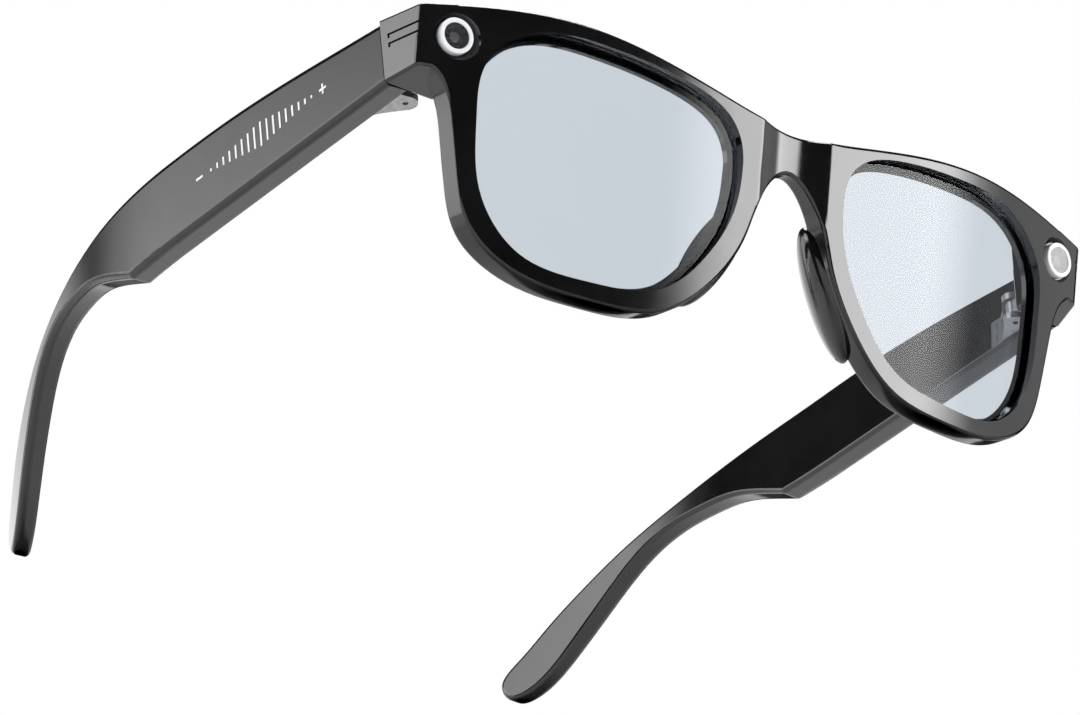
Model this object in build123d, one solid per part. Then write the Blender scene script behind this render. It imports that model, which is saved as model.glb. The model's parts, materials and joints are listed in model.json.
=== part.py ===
from build123d import *
from math import atan, degrees, hypot
import os

os.makedirs("parts", exist_ok=True)

# Smart glasses, millimetres and degrees.
# The front is drawn in its own frame: X to the wearer's left, Y towards the wearer, Z up, with
# the lens centres at Z 0. One side is drawn, on +X, and mirrored for the other. At the end the
# whole object is tilted to stand on its rims and temple tips.

# ---------------------------------------------------------------- driving dimensions
# Front
front_radius = 272.0        # bend of the front, seen from above
rim_depth = 4.6             # front to back, normal to the bend
plate_half_width = 69.5     # beyond this the endpiece block carries on
block_edge_round = 0.5
edge_round = 0.6
bridge_dish_radius = 19.0
bridge_dish_depth = 1.5
bridge_dish_blend = 2.5
top_edge = [(0, 16.7), (16, 19.1), (32, 22.4), (46, 23.5), (60, 22.1), (72, 19.7)]
lower_edge = [(71.4, 9.6), (69.6, 9.4), (67.3, 7.8), (65.5, 4.5), (64.4, 0), (62.7, -9),
              (59.8, -17.2), (52.5, -22.5), (38, -24.4), (24.5, -22.6), (15.6, -15.6),
              (9.0, -4.9), (5.6, 4.4), (0, 9.4)]

# Lens opening, lens and the groove that holds it
aperture_points = [(10.9, 7.5), (14.4, 15.6), (24, 19.2), (39, 20.8), (53, 19.0), (60.0, 11.5),
                   (60.6, 2), (58.6, -11), (51.5, -19.2), (38, -21), (25, -18.7), (15.8, -9.2)]
lens_setback = 1.5
lens_thickness = 2.0
lens_lip = 0.6              # how far the lens reaches into the rim
lens_play = 0.02
outline_steps = 36
rear_lip = 1.1              # how far the rim reaches in behind the lens

# Hinge axis and the direction of the temple
hinge_x = 66.0
hinge_behind_front = 13.17  # from the front surface back to the hinge axis
hinge_z = 12.5
temple_drop = 11.3          # the temples slope down towards the back
temple_lean = 4.5           # their top edge leans outwards
temple_splay = 1.7          # and they spread towards the back
seam_ahead = 4.2            # from the hinge axis forward to the back of the endpiece
seam_gap = 0.2

# Endpiece: sections across the temple direction, at its front and at the seam, each from the
# outer top corner to the outer bottom, inner bottom and inner top corners
end_front_ahead = 14.6
end_front_section = [(5.1, 5.05), (4.3, -5.3), (-4.4, -5.3), (-4.4, 6.6)]
end_seam_section = [(8.0, 5.2), (7.1, -6.4), (-3.4, -6.4), (-3.4, 7.0)]
end_corner_round = 1.6
trim_groove_width = 0.4
trim_groove_depth = 0.4
trim_groove_heights = [1.9, 0.2]
trim_groove_front_x = 70.4  # where the grooves start on the front
trim_groove_hook = 0.5      # their rear ends turn down by this much
trim_groove_stop = 1.3      # and how far before the seam they end

# Camera module, along its own axis, 0 at the front surface
camera_x = 65.4
camera_z = 15.4
camera_tilt = 7.0           # turned outwards
pocket_floor = 1.0
pocket_floor_radius = 3.35
pocket_flare = 0.7          # gained in radius over the pocket's depth
ring_radius = 3.1
ring_bore_radius = 2.3
ring_proud = 0.35
ring_round = 0.15
module_bore_radius = 2.6
module_bore_depth = 5.8
flange_thickness = 0.6
module_play = 0.05
barrel_rear_radius = 1.9
barrel_length = 4.6
window_thickness = 0.4
window_setback = 0.15
camera_lens_radius = 1.2
camera_lens_thickness = 1.0
camera_lens_dome = 2.2      # radius of its domed front
camera_lens_setback = 0.15
sensor_board_size = 3.4
sensor_board_thickness = 0.8

# Bay behind the camera and its cover, in the hinge frame
bay_x = (0.6, 5.2)
bay_z = (-4.6, 3.6)
bay_front = 9.2
cover_ledge = 0.8
cover_thickness = 1.0

# Brow cable
cable_below_top = 1.0
cable_width = 1.6
cable_behind_front = 3.8
cable_thickness = 0.25
cable_reach = 62.8
cable_leg_bottom = 14.6     # its ends turn down to the camera modules
cable_play = 0.05

# Nose pads
pad_centre = (12.3, 5.8, -7.6)
pad_half_sizes = (2.6, 4.8, 12.0)
pad_flare = 27.0            # it leans outwards towards its bottom
pad_turn = 20.0             # and towards its back

# Hinge
pin_radius = 0.5
pin_play = 0.03
pin_head_radius = 0.95
pin_head_height = 0.4
pin_recess = 0.4
pin_slot = (0.25, 0.15)
ear_radius = 2.1
ear_arm = [(-1.7, 1.2), (-0.3, 2.7), (1.5, 4.7), (2.6, 6.4), (5, 6.4), (5, -1.5), (0, -2.1), (0, 0)]
lower_ear = (-5.9, -4.7)
upper_ear = (-1.9, -0.7)
knuckle_radius = 1.5
knuckle_play = 0.1
knuckle_arm_half = 1.2
knuckle_arm_gap = 0.1       # between the arm's root and the endpiece
leaf_thickness = 0.8
front_leaf_x = (-2.8, 1.2)
front_leaf_z = (-5.9, 2.4)
front_screws = [(-0.7, 1.5), (-0.7, -0.7)]
temple_leaf_y = (3.4, 9.6)
temple_leaf_z = (-5.9, -0.5)
temple_screws = [(7.9, -2.0), (7.9, -4.5)]
screw_radius = 0.4
screw_head_radius = 0.75
screw_head_height = 0.35
screw_play = 0.02
screw_reach = 2.8
screw_slot = (0.2, 0.12)    # width and depth

# Temple, in a frame on its inner face: X outwards, Y back from the hinge axis
temple_inner_x = 2.8        # inner face, out from the hinge axis
temple_thickness = 4.9
straight_length = 57.0
outer_toe_in_radius = 178.0 # the outer face bends more, so the temple thins towards its tip
inner_toe_in_radius = 188.0
notch_round = 1.5
temple_under = [(-8.0, -6.33), (70.1, -7.7)]
temple_outline = [(70.1, -7.7), (77.5, -4.6), (84.8, -2.4), (91.9, -2.1), (99.2, -3.0), (105.9, -5.8),
                  (111.7, -10.5), (117.2, -16.4), (122.5, -22.4), (126.9, -26.9), (130.6, -29.3),
                  (134.6, -29.7), (136.7, -26.8), (133.1, -21.4), (127.4, -15.8), (120.0, -9.7),
                  (111.8, -4.3), (100.5, 0.8), (89.8, 4.2), (78.0, 6.65), (64.5, 7.95), (50, 8.4),
                  (36, 8.25), (18, 7.15), (5, 6.0), (-8.0, 4.9)]
outer_edge_round = 1.3
inner_edge_round = 0.8
inner_cover_thickness = 0.9
inner_cover_end = 64.0
shell_wall = 1.0
cavity_y = (9.0, 63.0)
cavity_z = (-5.2, 4.8)

# Electronics in the temples, each as a Y range and a Z range
board_y = (11.0, 34.0)
board_z = (-4.6, 2.2)
board_x = (2.5, 3.3)
right_battery_y = (36.0, 55.5)
left_battery_y = (22.0, 55.5)
battery_z = (-4.3, 4.1)
part_from_cover = 0.1      # batteries and speakers stand this far off the inner cover
battery_thickness = 2.4
speaker_y = (57.0, 62.4)
speaker_z = (-4.4, 3.9)
speaker_thickness = 2.4
grille_thickness = 0.4
grille_top = 7.75
grille_ledge = 0.5
grille_inset = (0.3, 0.1)   # in from the speaker's inner and outer sides
grille_slots = 4
grille_slot_width = 0.5
grille_slot_pitch = 1.2
touch_pad_y = (12.0, 55.0)
touch_pad_z = (-4.4, 4.2)
touch_pad_thickness = 0.3
microphone_y = 19.0
microphone_z = -1.9
microphone_size = (0.9, 2.6, 2.2)
microphone_hole_radius = 0.3

# Volume scale on the right temple, front to back
scale_y = (15.3, 44.0)
scale_z = 0.8
scale_marks = 17
scale_mark_width = 0.4
scale_mark_least = 0.5
scale_mark_most = 4.6
scale_sign_size = 1.9
plus_y = 12.2
minus_y = 47.4
print_thickness = 0.06

# Capture button on top of the right temple
button_y = 17.0
button_length = 9.0
button_width = 2.2
button_x = 2.4
button_round = 0.3
button_proud = 0.5
button_travel = 0.4
button_play = 0.1
button_flange = 0.5
button_flange_z = (3.8, 4.6)
switch_y = (15.2, 18.8)
switch_x = (1.9, 3.3)
switch_top = 3.35

# Standing on a table
rest_flat_depth = 0.15


# ---------------------------------------------------------------- helpers and frames
def mirrored(shape):
    return mirror(shape, about=Plane.YZ)


def flipped(points):
    return [(-x, z) for x, z in points]


def block(x, y, z):
    """A box from its X, Y and Z ranges."""
    centre = Pos((x[0] + x[1]) / 2, (y[0] + y[1]) / 2, (z[0] + z[1]) / 2)
    return centre * Box(x[1] - x[0], y[1] - y[0], z[1] - z[0])


def rod(radius, z):
    """An upright cylinder from its Z range."""
    return Pos(0, 0, (z[0] + z[1]) / 2) * Cylinder(radius, z[1] - z[0])


def front_y(x):
    return front_radius - (front_radius**2 - x**2) ** 0.5


def bend(front_offset, back_offset):
    """The curved space between two offsets behind the front surface."""
    reach = block((-100, 100), (-15, 45), (-45, 45))
    outer = Pos(0, front_radius, 0) * Cylinder(front_radius - front_offset, 90)
    inner = Pos(0, front_radius, 0) * Cylinder(front_radius - back_offset, 90)
    return (outer & reach) - inner


def on_bend(edge, offset):
    """Whether an edge lies on the surface that far behind the front."""
    for place in (0, 0.13, 0.37, 0.5, 0.81, 1):
        point = edge @ place
        if abs(hypot(point.X, point.Y - front_radius) - (front_radius - offset)) > 0.002:
            return False
    return True


def through_front(sketch):
    """Push a sketch of the front, drawn as X and Z, back through the frame."""
    return extrude(Pos(0, -5, 0) * (Plane.XZ * sketch), amount=40, dir=(0, 1, 0))


hinge_y = front_y(hinge_x) + hinge_behind_front
hinge_frame = Pos(hinge_x, hinge_y, hinge_z) * Rot(-temple_drop, 0, 0)
temple_turn = Rot(0, 0, -temple_splay) * Rot(0, temple_lean, 0)
temple_frame = hinge_frame * Pos(temple_inner_x, 0, 0) * temple_turn
camera_frame = Pos(camera_x, front_y(camera_x), camera_z) * Rot(0, 0, camera_tilt) * Rot(90, 0, 0)


# ---------------------------------------------------------------- front frame
def front_outline():
    top = Spline(*flipped(top_edge[:0:-1]), *top_edge)
    side = Line(top_edge[-1], lower_edge[0])
    low = Spline(*lower_edge, *flipped(lower_edge[-2::-1]))
    return make_face([top, side, low, mirrored(side)])


def aperture(growth=0.0):
    """The lens opening's outline, or one drawn larger all round."""
    edge = Spline(*aperture_points, periodic=True)
    if growth == 0:
        return make_face([edge])
    points = []
    for i in range(outline_steps):
        place = edge @ (i / outline_steps)
        along = edge % (i / outline_steps)
        points.append((place.X - along.Y * growth, place.Y + along.X * growth))
    return make_face([Spline(*points, periodic=True)])


def in_front(corner, y):
    """Where a section's corner lies in the front's frame."""
    return (hinge_frame * Pos(corner[0], y, corner[1])).position


def above_endpiece():
    """The space above the plane of the endpiece's top, which also trims the end of the brow."""
    front = in_front(end_front_section[0], -end_front_ahead)
    inner = in_front(end_front_section[3], -end_front_ahead)
    seam = in_front(end_seam_section[0], -seam_ahead)
    plane = Plane(origin=front, x_dir=inner - front, z_dir=(inner - front).cross(seam - front))
    side = 1 if plane.z_dir.Z > 0 else -1
    return plane * Pos(0, 0, side * 15) * Box(60, 60, 30)


def brow_and_rims():
    plate = through_front(front_outline()) & bend(0, rim_depth)
    plate = plate & block((-plate_half_width, plate_half_width), (-5, 40), (-40, 40))
    dish_y = bridge_dish_depth - bridge_dish_radius
    plate = plate - Pos(0, dish_y, 0) * Cylinder(bridge_dish_radius, 60)
    wedge = above_endpiece()
    plate = plate - wedge - mirrored(wedge)
    dish_sides = [edge for edge in plate.edges() if on_bend(edge, 0) and abs(edge.center().X) < 12]
    plate = fillet(dish_sides, bridge_dish_blend)
    for offset in (0, rim_depth):
        rounded = [edge for edge in plate.edges() if on_bend(edge, offset)]
        rounded = [edge for edge in rounded if abs(edge.center().X) < plate_half_width - 1]
        plate = fillet(rounded, edge_round)
    return plate


def endpiece(inset=0.0):
    """The block that carries a camera and meets the temple; inset draws its outside smaller."""
    front_corners = [(x - inset if x > 0 else x, z) for x, z in end_front_section]
    seam_corners = [(x - inset if x > 0 else x, z) for x, z in end_seam_section]
    front = Pos(0, -end_front_ahead, 0) * (Plane.XZ * Polygon(*front_corners, align=None))
    seam = Pos(0, -seam_ahead, 0) * (Plane.XZ * Polygon(*seam_corners, align=None))
    body = hinge_frame * loft([front.face(), seam.face()], ruled=True)
    body = body & bend(inset, 40)
    corner = [edge for edge in body.edges() if on_bend(edge, inset) and edge.center().X > 70]
    body = fillet(corner, end_corner_round - inset)
    if inset == 0:
        body = fillet(long_edges(body), block_edge_round)
    return body


def long_edges(body):
    """The endpiece's edges that run back from the front or lie along its top and bottom."""
    chosen = []
    for edge in body.edges():
        local = hinge_frame.inverse() * edge
        box = local.bounding_box()
        at_seam = box.min.Y > -seam_ahead - 0.01
        upright = box.size.Z > 5
        inner_front = box.max.X < 0 and box.size.Y < 3
        if not (at_seam or upright or inner_front):
            chosen.append(edge)
    return chosen


def lens_openings():
    """The opening for the left lens: open in front, grooved for the lens, lipped behind."""
    lens_back = lens_setback + lens_thickness
    opening = through_front(aperture()) & bend(-2, lens_back)
    groove = through_front(aperture(lens_lip)) & bend(lens_setback, lens_back)
    behind = through_front(aperture(-rear_lip))
    return opening + groove + behind


def lens():
    shape = through_front(aperture(lens_lip - lens_play))
    return shape & bend(lens_setback + lens_play, lens_setback + lens_thickness - lens_play)


def brow_strip(play):
    """The brow cable's run, or with some play the channel it lies in."""
    top = [(x, z - cable_below_top + play) for x, z in top_edge]
    low = [(x, z - cable_below_top - cable_width - play) for x, z in top_edge]
    upper = Spline(*flipped(top[:0:-1]), *top)
    lower = Spline(*flipped(low[:0:-1]), *low)
    ends = [Line(upper @ 0, lower @ 0), Line(upper @ 1, lower @ 1)]
    strip = make_face([upper, lower, *ends])
    reach = cable_reach + play
    strip = strip & Rectangle(2 * reach, 60)
    leg_top = top_edge[4][1] - cable_below_top - cable_width / 2
    leg_height = leg_top - cable_leg_bottom + play
    leg_x = cable_reach - cable_width / 2
    leg = Pos(leg_x, leg_top - leg_height / 2) * Rectangle(cable_width + 2 * play, leg_height)
    strip = strip + leg + mirrored(leg)
    depth = cable_behind_front
    return through_front(strip) & bend(depth - play, depth + cable_thickness + play)


def module_space():
    """What one camera module and the bay behind it take out of the endpiece."""
    flare = pocket_flare / pocket_floor
    pocket = Cone(pocket_floor_radius, pocket_floor_radius + 3 * flare, 3)
    pocket = Pos(0, 0, 1.5 - pocket_floor) * pocket
    bore = rod(module_bore_radius, (-module_bore_depth, 0))
    bay = block(bay_x, (-bay_front, -seam_ahead), bay_z)
    recess = endpiece_cover_shape(0)
    return camera_frame * (pocket + bore) + hinge_frame * bay + recess


def endpiece_cover_shape(play):
    x = (bay_x[0] - cover_ledge + play, bay_x[1] + cover_ledge - play)
    z = (bay_z[0] - cover_ledge + play, bay_z[1] + cover_ledge - play)
    return hinge_frame * block(x, (-seam_ahead - cover_thickness, -seam_ahead), z)


def trim_grooves():
    cut = None
    inner = endpiece(trim_groove_depth)
    rear = -seam_ahead - trim_groove_stop
    half = trim_groove_width / 2
    for height in trim_groove_heights:
        run = block((2, 12), (-20, rear), (height - half, height + half))
        hook = block((2, 12), (rear - trim_groove_width, rear), (height - half - trim_groove_hook, height))
        groove = hinge_frame * (run + hook)
        cut = groove if cut is None else cut + groove
    return (cut & block((trim_groove_front_x, 90), (-5, 40), (0, 40))) - inner


def front_screw_holes():
    holes = None
    for x, z in front_screws:
        hole = hinge_frame * Pos(x, -seam_ahead, z) * Rot(90, 0, 0) * rod(screw_radius, (-0.1, screw_reach))
        holes = hole if holes is None else holes + hole
    return holes


def front_frame(solid_front):
    frame = solid_front
    for cut in (lens_openings(), module_space(), trim_grooves(), front_screw_holes()):
        frame = frame - cut - mirrored(cut)
    return frame - brow_strip(cable_play)


def solid_front():
    end = endpiece()
    return brow_and_rims() + end + mirrored(end)


def nose_pad(front):
    pad = scale(Rot(0, 0, 90) * Sphere(1), by=pad_half_sizes)
    pad = Pos(*pad_centre) * Rot(0, -pad_flare, 0) * Rot(0, 0, -pad_turn) * pad
    return (pad - front).solids().sort_by(SortBy.VOLUME)[-1]


# ---------------------------------------------------------------- camera modules
def camera_ring():
    tube = rod(ring_radius, (-pocket_floor, ring_proud)) - rod(ring_bore_radius, (-2, 2))
    rim = tube.edges().group_by(Axis.Z)[-1]
    return camera_frame * fillet(rim, ring_round)


def camera_barrel():
    face = ring_proud - window_setback - window_thickness
    flange = (-pocket_floor - flange_thickness, -pocket_floor - module_play)
    barrel = rod(ring_bore_radius - module_play, (-pocket_floor - flange_thickness, face))
    barrel = barrel + rod(module_bore_radius - module_play, flange)
    barrel = barrel + rod(barrel_rear_radius, (-barrel_length, -pocket_floor))
    return camera_frame * (barrel - rod(camera_lens_radius, (-9, 9)))


def camera_window():
    top = ring_proud - window_setback
    return camera_frame * rod(ring_bore_radius - module_play, (top - window_thickness, top))


def camera_lens():
    front = ring_proud - window_setback - window_thickness - camera_lens_setback
    disc = rod(camera_lens_radius, (front - camera_lens_thickness, front))
    dome = Pos(0, 0, front - camera_lens_dome) * Sphere(camera_lens_dome)
    return camera_frame * (disc & dome)


def camera_board():
    size = sensor_board_size
    middle = -barrel_length - sensor_board_thickness / 2
    return camera_frame * Pos(0, 0, middle) * Box(size, size, sensor_board_thickness)


# ---------------------------------------------------------------- hinges
def screw(reach):
    """A countersunk-flush screw along +Z, its head's top at 0."""
    head = rod(screw_head_radius, (0, screw_head_height))
    slot = Box(2 * screw_head_radius, screw_slot[0], 2 * screw_slot[1])
    return head + rod(screw_radius - screw_play, (0, reach)) - slot


def front_screw_places():
    y = -seam_ahead + leaf_thickness
    return [hinge_frame * Pos(x, y, z) * Rot(90, 0, 0) for x, z in front_screws]


def temple_screw_places():
    x = inner_cover_thickness - leaf_thickness
    return [temple_frame * Pos(x, y, z) * Rot(0, 90, 0) for y, z in temple_screws]


def screw_set(places):
    return Compound([place * screw(screw_reach) for place in places])


def head_recesses(places):
    recesses = [place * rod(screw_head_radius + screw_play, (-1, screw_head_height)) for place in places]
    shanks = [place * rod(screw_radius, (0, screw_reach)) for place in places]
    return recesses + shanks


def hinge_front_leaf():
    plate = block(front_leaf_x, (-seam_ahead, -seam_ahead + leaf_thickness), front_leaf_z)
    knuckle_z = (lower_ear[1] + knuckle_play, upper_ear[0] - knuckle_play)
    arm = block((-knuckle_arm_half, knuckle_arm_half), (-seam_ahead + knuckle_arm_gap, 0), knuckle_z)
    leaf = plate + arm + rod(knuckle_radius, knuckle_z) - rod(pin_radius + pin_play, (-9, 9))
    leaf = hinge_frame * leaf
    for recess in head_recesses(front_screw_places()):
        leaf = leaf - recess
    return leaf


def ears():
    outline = make_face(Polyline(*ear_arm, close=True)) + Circle(ear_radius)
    both = None
    for low, high in (lower_ear, upper_ear):
        ear = Pos(0, 0, low) * extrude(outline, amount=high - low)
        both = ear if both is None else both + ear
    both = both - rod(pin_radius, (-9, 9))
    shell_side = block((inner_cover_thickness, 20), (-20, 30), (-20, 20))
    return hinge_frame * both - temple_frame * shell_side


def hinge_temple_leaf():
    leaf_x = (inner_cover_thickness - leaf_thickness, inner_cover_thickness)
    leaf = ears() + temple_frame * block(leaf_x, temple_leaf_y, temple_leaf_z)
    for recess in head_recesses(temple_screw_places()):
        leaf = leaf - recess
    return leaf


def hinge_pin():
    shank = rod(pin_radius, (lower_ear[0] + pin_recess, upper_ear[1]))
    head = rod(pin_head_radius, (upper_ear[1], upper_ear[1] + pin_head_height))
    slot = Pos(0, 0, upper_ear[1] + pin_head_height) * Box(2 * pin_head_radius, pin_slot[0], 2 * pin_slot[1])
    return hinge_frame * (shank + head - slot)


# ---------------------------------------------------------------- temples, in the temple's own frame
def temple_body():
    under = Line(*temple_under)
    over = Spline(*temple_outline)
    close = Line(temple_outline[-1], temple_under[0])
    side = extrude(Plane.YZ * make_face([under, over, close]), amount=60, both=True)
    notch = [edge for edge in side.edges() if at_notch(edge)]
    side = fillet(notch, notch_round)
    ring = Pos(*outer_bend_centre()) * Circle(outer_toe_in_radius)
    ring = ring - Pos(*inner_bend_centre()) * Circle(inner_toe_in_radius)
    ring = ring & Pos(0, straight_length + 50) * Rectangle(60, 100)
    slab = Rectangle(temple_thickness, straight_length + 20)
    slab = Pos(temple_thickness / 2, straight_length / 2 - 10) * slab
    plan = Pos(0, 0, -40) * extrude(ring + slab, amount=60)
    body = side & plan
    outer = face_loop(body, temple_thickness, outer_bend_centre(), outer_toe_in_radius)
    body = fillet(outer, outer_edge_round)
    body = fillet(face_loop(body, 0, inner_bend_centre(), inner_toe_in_radius), inner_edge_round)
    behind_seam = hinge_frame * block((-60, 60), (seam_gap - seam_ahead, 200), (-60, 60))
    return body & temple_frame.inverse() * behind_seam


def outer_bend_centre():
    return (temple_thickness - outer_toe_in_radius, straight_length)


def inner_bend_centre():
    return (-inner_toe_in_radius, straight_length)


def at_notch(edge):
    middle = edge @ 0.5
    return hypot(middle.Y - temple_under[1][0], middle.Z - temple_under[1][1]) < 0.01


def face_loop(body, x, centre, radius):
    """The edges around the outer or the inner side of the temple."""
    chosen = []
    for edge in body.edges():
        middle = edge @ 0.5
        reach = hypot(middle.X - centre[0], middle.Y - centre[1])
        on_slab = abs(middle.X - x) < 0.01 and middle.Y < straight_length + 0.01
        on_ring = abs(reach - radius) < 0.01 and middle.Y > straight_length
        along = max((edge @ 0).Y, (edge @ 1).Y) > -7
        across = abs((edge @ 0).X - (edge @ 1).X) > 3 and abs((edge @ 0).Y - (edge @ 1).Y) < 1
        if (on_slab or on_ring) and along and not across:
            chosen.append(edge)
    return chosen


def cover_slab():
    return block((-1, inner_cover_thickness), (-10, inner_cover_end), (-20, 20))


def temple_cavity():
    return block((inner_cover_thickness, temple_thickness - shell_wall), cavity_y, cavity_z)


def grille_x(play):
    start, end = speaker_x()
    return (start + grille_inset[0] + play, end - grille_inset[1] - play)


def grille_space():
    x = grille_x(0)
    duct_y = (speaker_y[0] + grille_ledge, speaker_y[1] - grille_ledge)
    duct = block((x[0] + grille_ledge, x[1] - grille_ledge), duct_y, (cavity_z[1] - 0.1, grille_top))
    seat = block(x, speaker_y, (grille_top - grille_thickness, 20))
    return duct + seat


def button_space():
    half = button_length / 2 + button_play
    wide = button_width / 2 + button_play
    return block((button_x - wide, button_x + wide), (button_y - half, button_y + half), (0, 20))


def temple_shell(body, with_button):
    shell = body - cover_slab() - temple_cavity() - grille_space()
    if with_button:
        shell = shell - button_space()
    shell = temple_frame * shell
    for recess in head_recesses(temple_screw_places()):
        shell = shell - recess
    return shell


def inner_cover(body):
    cover = body & cover_slab()
    hole = Pos(0, microphone_y, microphone_z) * Rot(0, 90, 0) * rod(microphone_hole_radius, (-2, 2))
    leaf = temple_frame.inverse() * (ears() + hinge_frame * rod(ear_radius, (lower_ear[0], upper_ear[1])))
    plate = block((-1, inner_cover_thickness), temple_leaf_y, temple_leaf_z)
    return temple_frame * (cover - hole - plate - leaf)


def speaker_x():
    start = inner_cover_thickness + part_from_cover
    return (start, start + speaker_thickness)


def battery(y):
    start = inner_cover_thickness + part_from_cover
    return temple_frame * block((start, start + battery_thickness), y, battery_z)


def speaker():
    return temple_frame * block(speaker_x(), speaker_y, speaker_z)


def speaker_grille():
    x = grille_x(module_play)
    y = (speaker_y[0] + module_play, speaker_y[1] - module_play)
    grille = block(x, y, (grille_top - grille_thickness, grille_top))
    middle = (y[0] + y[1]) / 2
    for i in range(grille_slots):
        slot_y = middle + (i - (grille_slots - 1) / 2) * grille_slot_pitch
        low = slot_y - grille_slot_width / 2
        slot_x = (x[0] + grille_ledge, x[1] - grille_ledge)
        grille = grille - block(slot_x, (low, low + grille_slot_width), (0, 20))
    return temple_frame * grille


def microphone():
    size = microphone_size
    x = inner_cover_thickness + size[0] / 2
    return temple_frame * Pos(x, microphone_y, microphone_z) * Box(*size)


def main_board():
    return temple_frame * block(board_x, board_y, board_z)


def touch_pad():
    x = temple_thickness - shell_wall
    return temple_frame * block((x - touch_pad_thickness, x), touch_pad_y, touch_pad_z)


def button_switch():
    return temple_frame * block(switch_x, switch_y, (board_z[1], switch_top))


def temple_top(y):
    """Height of the temple's top edge, taken straight between the outline's points."""
    for (y1, z1), (y0, z0) in zip(temple_outline, temple_outline[1:]):
        if y0 <= y <= y1:
            return z0 + (z1 - z0) * (y - y0) / (y1 - y0)


def capture_button():
    y0 = button_y - button_length / 2
    y1 = button_y + button_length / 2
    top = [(y1, temple_top(y1) + button_proud), (y0, temple_top(y0) + button_proud)]
    side = make_face(Polyline((y0, button_flange_z[0]), (y1, button_flange_z[0]), *top, close=True))
    stem = Pos(button_x - button_width / 2, 0, 0) * extrude(Plane.YZ * side, amount=button_width)
    upper = [edge for edge in stem.edges() if (edge @ 0).Z > 5 and (edge @ 1).Z > 5]
    stem = fillet(upper, button_round)
    flange_x = (button_x - button_width / 2, button_x + button_width / 2)
    flange = block(flange_x, (y0 - button_flange, y1 + button_flange), button_flange_z)
    return temple_frame * (stem + flange)


def scale_block(y, width, height):
    x = (temple_thickness, temple_thickness + print_thickness)
    low = scale_z - height / 2
    return block(x, (y - width / 2, y + width / 2), (low, low + height))


def volume_scale():
    """Printed marks that grow towards the middle, between a plus and a minus sign."""
    middle = (scale_marks - 1) / 2
    step = (scale_y[1] - scale_y[0]) / (scale_marks - 1)
    pieces = []
    for i in range(scale_marks):
        share = 1 - abs(i - middle) / middle
        height = scale_mark_least + (scale_mark_most - scale_mark_least) * share
        pieces.append(scale_block(scale_y[0] + i * step, scale_mark_width, height))
    plus = scale_block(plus_y, scale_sign_size, scale_mark_width)
    pieces.append(plus + scale_block(plus_y, scale_mark_width, scale_sign_size))
    pieces.append(scale_block(minus_y, scale_sign_size, scale_mark_width))
    return Compound([temple_frame * piece for piece in pieces])


# ---------------------------------------------------------------- assembly
def both_sides():
    """Every piece that comes as a mirrored pair, drawn on the left."""
    body = temple_body()
    front = solid_front()
    pieces = {
        "lens": lens(),
        "nose_pad": nose_pad(front),
        "camera_ring": camera_ring(),
        "camera_barrel": camera_barrel(),
        "camera_window": camera_window(),
        "camera_lens": camera_lens(),
        "camera_board": camera_board(),
        "endpiece_cover": endpiece_cover_shape(module_play),
        "hinge_front_leaf": hinge_front_leaf(),
        "hinge_front_screws": screw_set(front_screw_places()),
        "hinge_temple_leaf": hinge_temple_leaf(),
        "hinge_temple_screws": screw_set(temple_screw_places()),
        "hinge_pin": hinge_pin(),
        "inner_cover": inner_cover(body),
        "speaker": speaker(),
        "speaker_grille": speaker_grille(),
        "microphone": microphone(),
    }
    return front, body, pieces


def build():
    front, body, pieces = both_sides()
    nodes = {"front_frame": front_frame(front), "brow_cable": brow_strip(0)}
    for name, shape in pieces.items():
        nodes[name + "_left"] = shape
        nodes[name + "_right"] = mirrored(shape)
    nodes["temple_shell_left"] = temple_shell(body, False)
    nodes["temple_shell_right"] = mirrored(temple_shell(body, True))
    nodes["battery_left"] = battery(left_battery_y)
    nodes["battery_right"] = mirrored(battery(right_battery_y))
    nodes["main_board"] = mirrored(main_board())
    nodes["touch_pad"] = mirrored(touch_pad())
    nodes["button_switch"] = mirrored(button_switch())
    nodes["capture_button"] = mirrored(capture_button())
    nodes["volume_scale"] = mirrored(volume_scale())
    return nodes


def standing_tilt(frame, temple):
    """The tilt about X that brings the rims and the temple tips down to one level."""
    tilt = 0.0
    reach = max(y for y, z in temple_outline)
    for _ in range(8):
        rim = (Rot(tilt, 0, 0) * frame).bounding_box().min.Z
        tip = (Rot(tilt, 0, 0) * temple).bounding_box().min.Z
        tilt += degrees(atan((rim - tip) / reach))
    return tilt


def stand_up(nodes):
    """Tilt, centre and lower every piece onto the table, and flatten where it rests."""
    tilt = standing_tilt(nodes["front_frame"], nodes["temple_shell_left"])
    turned = {name: Rot(tilt, 0, 0) * shape for name, shape in nodes.items()}
    boxes = [shape.bounding_box() for shape in turned.values()]
    middle_y = (min(box.min.Y for box in boxes) + max(box.max.Y for box in boxes)) / 2
    lowest = min(box.min.Z for box in boxes)
    move = Pos(0, -middle_y, -lowest - rest_flat_depth)
    table = block((-200, 200), (-200, 200), (-50, 0))
    for name, shape in turned.items():
        shape = move * shape
        if name == "front_frame" or name.startswith("temple_shell"):
            shape = shape - table
        turned[name] = shape
    print("tilt", tilt, "move", tuple(move.position))
    return turned


if __name__ == "__main__":
    for name, shape in stand_up(build()).items():
        export_step(shape, f"parts/{name}.step")
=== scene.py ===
import json
from math import cos, pi, radians, sin

import bpy
from mathutils import Matrix, Vector


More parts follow.
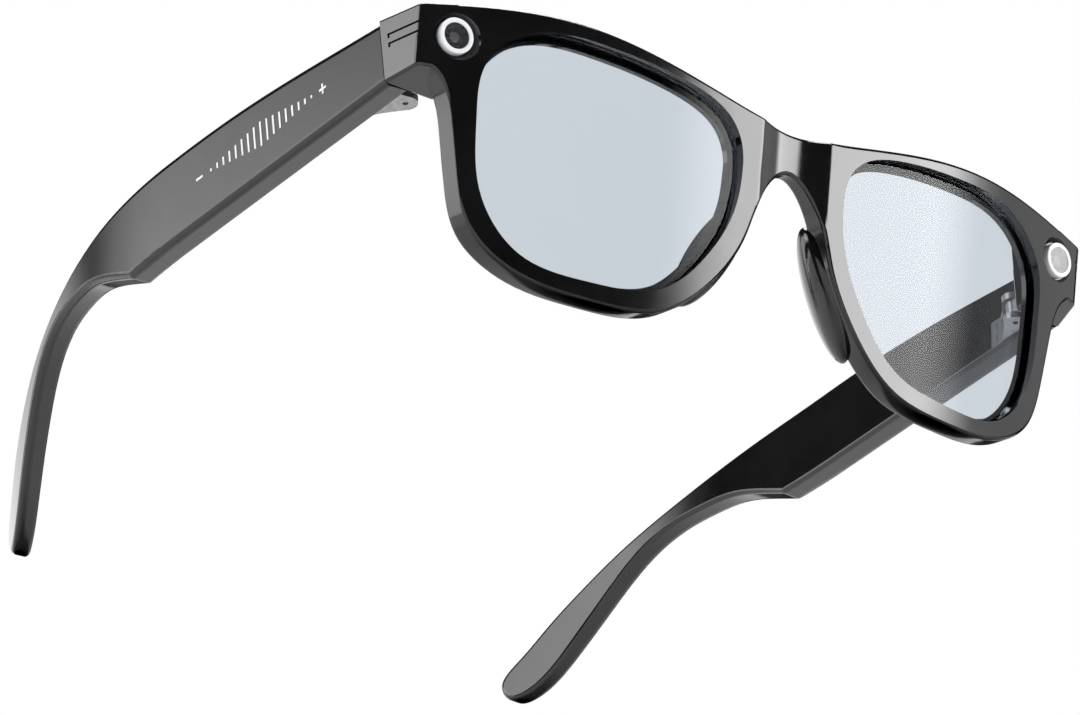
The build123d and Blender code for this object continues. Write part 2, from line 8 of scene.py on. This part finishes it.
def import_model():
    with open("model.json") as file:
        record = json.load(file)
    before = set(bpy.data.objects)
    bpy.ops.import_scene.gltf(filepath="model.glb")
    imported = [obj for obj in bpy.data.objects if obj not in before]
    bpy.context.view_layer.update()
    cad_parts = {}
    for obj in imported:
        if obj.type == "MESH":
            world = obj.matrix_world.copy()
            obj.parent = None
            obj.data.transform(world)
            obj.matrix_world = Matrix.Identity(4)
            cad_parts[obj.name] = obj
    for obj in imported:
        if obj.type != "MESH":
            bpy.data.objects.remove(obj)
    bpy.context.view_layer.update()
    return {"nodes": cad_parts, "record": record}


# Smart glasses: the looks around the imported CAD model. Metres; +X is the wearer's left,
# +Y runs from the front to the temple tips, +Z is up.
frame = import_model()
nodes = frame["nodes"]

# ---------------------------------------------------------------- named values
CAMERA_AZIMUTH = -36.302
CAMERA_ELEVATION = -25.752
CAMERA_ROLL = radians(0.939)
CAMERA_DISTANCE = 0.90814
CAMERA_TARGET = Vector((-0.034657, -0.052960, -0.002544))
CAMERA_LENS = 183.33
SENSOR_WIDTH = 36.0

FLOOR_SIZE = 6.0
WORLD_SEEN = 1.0
WORLD_LIGHT = 0.03          # what glossy black picks up between the boxes
TOP_LIGHT = (1.0, 1.2, 10.0)    # width, height above the floor, brightness

# Soft boxes, painted on the world with feathered edges: azimuth, elevation, half width and
# half height in degrees, and brightness. Azimuth 0 is in front, 90 on the wearer's left.
SOFTBOXES = {
    "key": (40, 22, 13, 11, 11.0),
    "side": (-105, 26, 17, 9, 4.5),
    "back": (-128, 10, 27, 14, 3.0),
    "tail": (176, 12, 22, 16, 1.8),
    "left": (62, 22, 12, 10, 1.2),
}
BOX_FEATHER = 0.45          # share of the half size over which a box fades out
BOX_SQUARENESS = 4.0        # 2 would make the boxes oval, more makes their corners sharper

GRAIN_STRENGTH = 0.4        # bump of moulded plastic
BRUSH_STRENGTH = 0.3        # bump of brushed metal
BRUSH_DEPTH = 0.00001


# ---------------------------------------------------------------- materials
class Nodes:
    """A material's node tree, with short names for what these materials share."""

    def __init__(self, name):
        self.material = bpy.data.materials.new(name)
        self.material.use_nodes = True
        self.tree = self.material.node_tree
        self.tree.nodes.clear()
        self.out = self.add("ShaderNodeOutputMaterial")
        self.shader = self.add("ShaderNodeBsdfPrincipled")
        self.link(self.shader.outputs[0], self.out.inputs[0])
        self.place = self.add("ShaderNodeTexCoord").outputs["Object"]

    def add(self, kind, **inputs):
        node = self.tree.nodes.new(kind)
        for key, value in inputs.items():
            node.inputs[key.replace("_", " ")].default_value = value
        return node

    def link(self, a, b):
        self.tree.links.new(a, b)

    def set(self, **inputs):
        for key, value in inputs.items():
            self.shader.inputs[key.replace("_", " ")].default_value = value

    def noise(self, scale, detail=3.0, stretch=None):
        node = self.add("ShaderNodeTexNoise", Scale=scale, Detail=detail)
        if stretch is None:
            self.link(self.place, node.inputs["Vector"])
        else:
            mapping = self.add("ShaderNodeMapping", Scale=stretch)
            self.link(self.place, mapping.inputs["Vector"])
            self.link(mapping.outputs[0], node.inputs["Vector"])
        return node.outputs["Fac"]

    def ramp(self, value, low, high, start=0.35, end=0.65):
        node = self.add("ShaderNodeValToRGB")
        node.color_ramp.elements[0].position = start
        node.color_ramp.elements[1].position = end
        node.color_ramp.elements[0].color = low
        node.color_ramp.elements[1].color = high
        self.link(value, node.inputs[0])
        return node.outputs[0]

    def span(self, value, low, high, start=0.35, end=0.65):
        node = self.add("ShaderNodeMapRange", From_Min=start, From_Max=end, To_Min=low, To_Max=high)
        self.link(value, node.inputs["Value"])
        return node.outputs[0]

    def colour(self, value, low, high, start=0.35, end=0.65):
        self.link(self.ramp(value, (*low, 1), (*high, 1), start, end), self.shader.inputs["Base Color"])

    def roughness(self, value, low, high, start=0.35, end=0.65):
        self.link(self.span(value, low, high, start, end), self.shader.inputs["Roughness"])

    def bump(self, value, strength, distance):
        node = self.add("ShaderNodeBump", Strength=strength, Distance=distance)
        self.link(value, node.inputs["Height"])
        self.link(node.outputs[0], self.shader.inputs["Normal"])


def plastic(name, dark, light, rough, grain=0.0, grain_scale=9000.0):
    m = Nodes(name)
    m.colour(m.noise(60), dark, light)
    m.roughness(m.noise(220, 5), *rough)
    m.bump(m.noise(grain_scale, 2), GRAIN_STRENGTH, grain)
    return m


def metal(name, dark, light, rough, stretch=(1, 1, 18)):
    m = Nodes(name)
    m.set(Metallic=1.0)
    brushed = m.noise(900, 4, stretch)
    m.colour(brushed, dark, light)
    m.roughness(brushed, *rough)
    m.bump(brushed, BRUSH_STRENGTH, BRUSH_DEPTH)
    return m


def black_gloss():
    m = plastic("black_gloss", (0.0035, 0.0035, 0.004), (0.006, 0.006, 0.0065), (0.07, 0.11), 0.0000012)
    m.set(IOR=1.5)
    return m.material


def black_matte():
    m = plastic("black_matte", (0.02, 0.02, 0.021), (0.035, 0.035, 0.036), (0.42, 0.6), 0.00002)
    return m.material


def clear_lens():
    m = Nodes("clear_lens")
    m.set(Transmission_Weight=1.0, IOR=1.22)
    m.colour(m.noise(25), (0.585, 0.635, 0.690), (0.60, 0.65, 0.705))
    m.roughness(m.noise(90), 0.0, 0.003)
    return m.material


def pale_ring():
    return plastic("pale_ring", (0.66, 0.67, 0.69), (0.74, 0.75, 0.77), (0.25, 0.36), 0.000004).material


def camera_black():
    m = plastic("camera_black", (0.008, 0.008, 0.009), (0.014, 0.014, 0.015), (0.3, 0.45), 0.00001)
    return m.material


def camera_glass():
    m = Nodes("camera_glass")
    m.set(Transmission_Weight=1.0, IOR=1.46)
    m.colour(m.noise(300), (0.80, 0.81, 0.84), (0.88, 0.89, 0.92))
    m.roughness(m.noise(400), 0.0, 0.02)
    return m.material


def camera_optic():
    m = Nodes("camera_optic")
    m.set(IOR=1.6, Coat_Weight=1.0, Coat_Roughness=0.02)
    m.colour(m.noise(500), (0.006, 0.008, 0.020), (0.014, 0.012, 0.034))
    m.roughness(m.noise(700), 0.02, 0.06)
    return m.material


def circuit_board():
    m = Nodes("circuit_board")
    tracks = m.add("ShaderNodeTexBrick", Scale=700.0)
    m.link(m.place, tracks.inputs["Vector"])
    m.colour(tracks.outputs["Fac"], (0.01, 0.09, 0.04), (0.05, 0.16, 0.07))
    m.roughness(m.noise(800), 0.3, 0.45)
    m.bump(tracks.outputs["Fac"], 0.5, 0.00003)
    return m.material


def flex_polyimide():
    m = plastic("flex_polyimide", (0.30, 0.12, 0.02), (0.42, 0.19, 0.04), (0.3, 0.4), 0.00001, 2000)
    return m.material


def battery_foil():
    m = metal("battery_foil", (0.42, 0.43, 0.44), (0.60, 0.61, 0.62), (0.35, 0.5), (1, 1, 1))
    return m.material


def hinge_metal():
    return metal("hinge_metal", (0.20, 0.20, 0.205), (0.30, 0.30, 0.305), (0.28, 0.42)).material


def grille_metal():
    return metal("grille_metal", (0.02, 0.02, 0.021), (0.05, 0.05, 0.052), (0.35, 0.5)).material


def microphone_can():
    return metal("microphone_can", (0.5, 0.46, 0.36), (0.62, 0.58, 0.47), (0.3, 0.4)).material


def pale_print():
    m = plastic("pale_print", (0.72, 0.73, 0.74), (0.84, 0.85, 0.86), (0.5, 0.7), 0.00001, 5000)
    return m.material


MAKERS = {
    "black_gloss": black_gloss, "black_matte": black_matte, "clear_lens": clear_lens,
    "pale_ring": pale_ring, "camera_black": camera_black, "camera_glass": camera_glass,
    "camera_optic": camera_optic, "circuit_board": circuit_board, "flex_polyimide": flex_polyimide,
    "battery_foil": battery_foil, "hinge_metal": hinge_metal, "grille_metal": grille_metal,
    "microphone_can": microphone_can, "pale_print": pale_print,
}
materials = {slot: make() for slot, make in MAKERS.items()}

for entry in frame["record"]["subparts"]:
    mesh = nodes[entry["node"]].data
    mesh.materials.clear()
    mesh.materials.append(materials[entry["material_slot"]])


# ---------------------------------------------------------------- floor, lights and camera
def floor_material():
    """Pale from above; it lets light and sight through from below, where the camera is."""
    m = Nodes("floor_pale")
    m.colour(m.noise(3), (0.62, 0.62, 0.62), (0.66, 0.66, 0.66))
    m.roughness(m.noise(8), 0.6, 0.8)
    below = m.add("ShaderNodeBsdfTransparent")
    mix = m.add("ShaderNodeMixShader")
    side = m.add("ShaderNodeNewGeometry")
    m.link(side.outputs["Backfacing"], mix.inputs[0])
    m.link(m.shader.outputs[0], mix.inputs[1])
    m.link(below.outputs[0], mix.inputs[2])
    m.link(mix.outputs[0], m.out.inputs[0])
    return m.material


def floor():
    half = FLOOR_SIZE / 2
    mesh = bpy.data.meshes.new("floor")
    corners = [(-half, -half, 0), (half, -half, 0), (half, half, 0), (-half, half, 0)]
    mesh.from_pydata(corners, [], [(0, 1, 2, 3)])
    mesh.materials.append(floor_material())
    obj = bpy.data.objects.new("floor", mesh)
    bpy.context.scene.collection.objects.link(obj)


def direction(azimuth, elevation):
    """Azimuth 0 is in front of the glasses, 90 on the wearer's left; both in degrees."""
    a, e = radians(azimuth), radians(elevation)
    return Vector((sin(a) * cos(e), -cos(a) * cos(e), sin(e)))


class WorldNodes:
    """The world's node tree, with the sums that paint one soft box."""

    def __init__(self, tree):
        self.tree = tree
        tree.nodes.clear()
        self.look = self.new("ShaderNodeTexCoord").outputs["Generated"]

    def new(self, kind):
        return self.tree.nodes.new(kind)

    def dot(self, vector):
        node = self.new("ShaderNodeVectorMath")
        node.operation = "DOT_PRODUCT"
        self.tree.links.new(self.look, node.inputs[0])
        node.inputs[1].default_value = vector
        return node.outputs["Value"]

    def math(self, operation, a, b=0.0):
        node = self.new("ShaderNodeMath")
        node.operation = operation
        for socket, value in zip(node.inputs, (a, b)):
            if isinstance(value, (int, float)):
                socket.default_value = value
            else:
                self.tree.links.new(value, socket)
        return node.outputs[0]

    def box(self, azimuth, elevation, half_width, half_height, brightness):
        ahead = direction(azimuth, elevation)
        right = Vector((0, 0, 1)).cross(ahead).normalized()
        up = ahead.cross(right)
        across = self.math("DIVIDE", self.dot(right), sin(radians(half_width)))
        along = self.math("DIVIDE", self.dot(up), sin(radians(half_height)))
        powers = []
        for value in (across, along):
            powers.append(self.math("POWER", self.math("ABSOLUTE", value), BOX_SQUARENESS))
        reach = self.math("POWER", self.math("ADD", *powers), 1 / BOX_SQUARENESS)
        fade = self.new("ShaderNodeMapRange")
        fade.interpolation_type = "SMOOTHSTEP"
        fade.inputs["From Min"].default_value = 1.0 + BOX_FEATHER / 2
        fade.inputs["From Max"].default_value = 1.0 - BOX_FEATHER / 2
        fade.inputs["To Max"].default_value = brightness
        self.tree.links.new(reach, fade.inputs["Value"])
        facing = self.math("GREATER_THAN", self.dot(ahead), 0.0)
        return self.math("MULTIPLY", fade.outputs[0], facing)


def world():
    """White where it is seen, also through a lens; as a light it is dim, with soft boxes."""
    studio = bpy.data.worlds.new("studio")
    bpy.context.scene.world = studio
    studio.use_nodes = True
    w = WorldNodes(studio.node_tree)
    total = WORLD_LIGHT
    for box in SOFTBOXES.values():
        total = w.math("ADD", w.box(*box), total)
    path = w.new("ShaderNodeLightPath").outputs
    seen = w.math("MAXIMUM", path["Is Camera Ray"], path["Is Transmission Ray"])
    light = w.math("MULTIPLY", total, w.math("SUBTRACT", 1.0, seen))
    strength = w.math("ADD", light, w.math("MULTIPLY", seen, WORLD_SEEN))
    background = w.new("ShaderNodeBackground")
    background.inputs["Color"].default_value = (1, 1, 1, 1)
    studio.node_tree.links.new(strength, background.inputs["Strength"])
    out = w.new("ShaderNodeOutputWorld")
    studio.node_tree.links.new(background.outputs[0], out.inputs[0])


def top_light():
    """One wide lamp overhead, which also makes the pale floor glow under the frame."""
    size, height, brightness = TOP_LIGHT
    data = bpy.data.lights.new("top_light", "AREA")
    data.shape = "SQUARE"
    data.size = size
    data.energy = brightness * pi * size * size
    obj = bpy.data.objects.new("top_light", data)
    obj.location = (0, 0, height)
    bpy.context.scene.collection.objects.link(obj)


def camera():
    data = bpy.data.cameras.new("camera")
    data.lens = CAMERA_LENS
    data.sensor_width = SENSOR_WIDTH
    obj = bpy.data.objects.new("camera", data)
    back = direction(CAMERA_AZIMUTH, CAMERA_ELEVATION)
    right = Vector((0, 0, 1)).cross(back).normalized()
    up = back.cross(right)
    turned = right * cos(CAMERA_ROLL) + up * sin(CAMERA_ROLL)
    up = back.cross(turned)
    place = Matrix((turned, up, back)).transposed().to_4x4()
    place.translation = CAMERA_TARGET + back * CAMERA_DISTANCE
    obj.matrix_world = place
    bpy.context.scene.collection.objects.link(obj)
    bpy.context.scene.camera = obj


floor()
world()
top_light()
camera()
bpy.context.scene.view_settings.view_transform = "Standard"
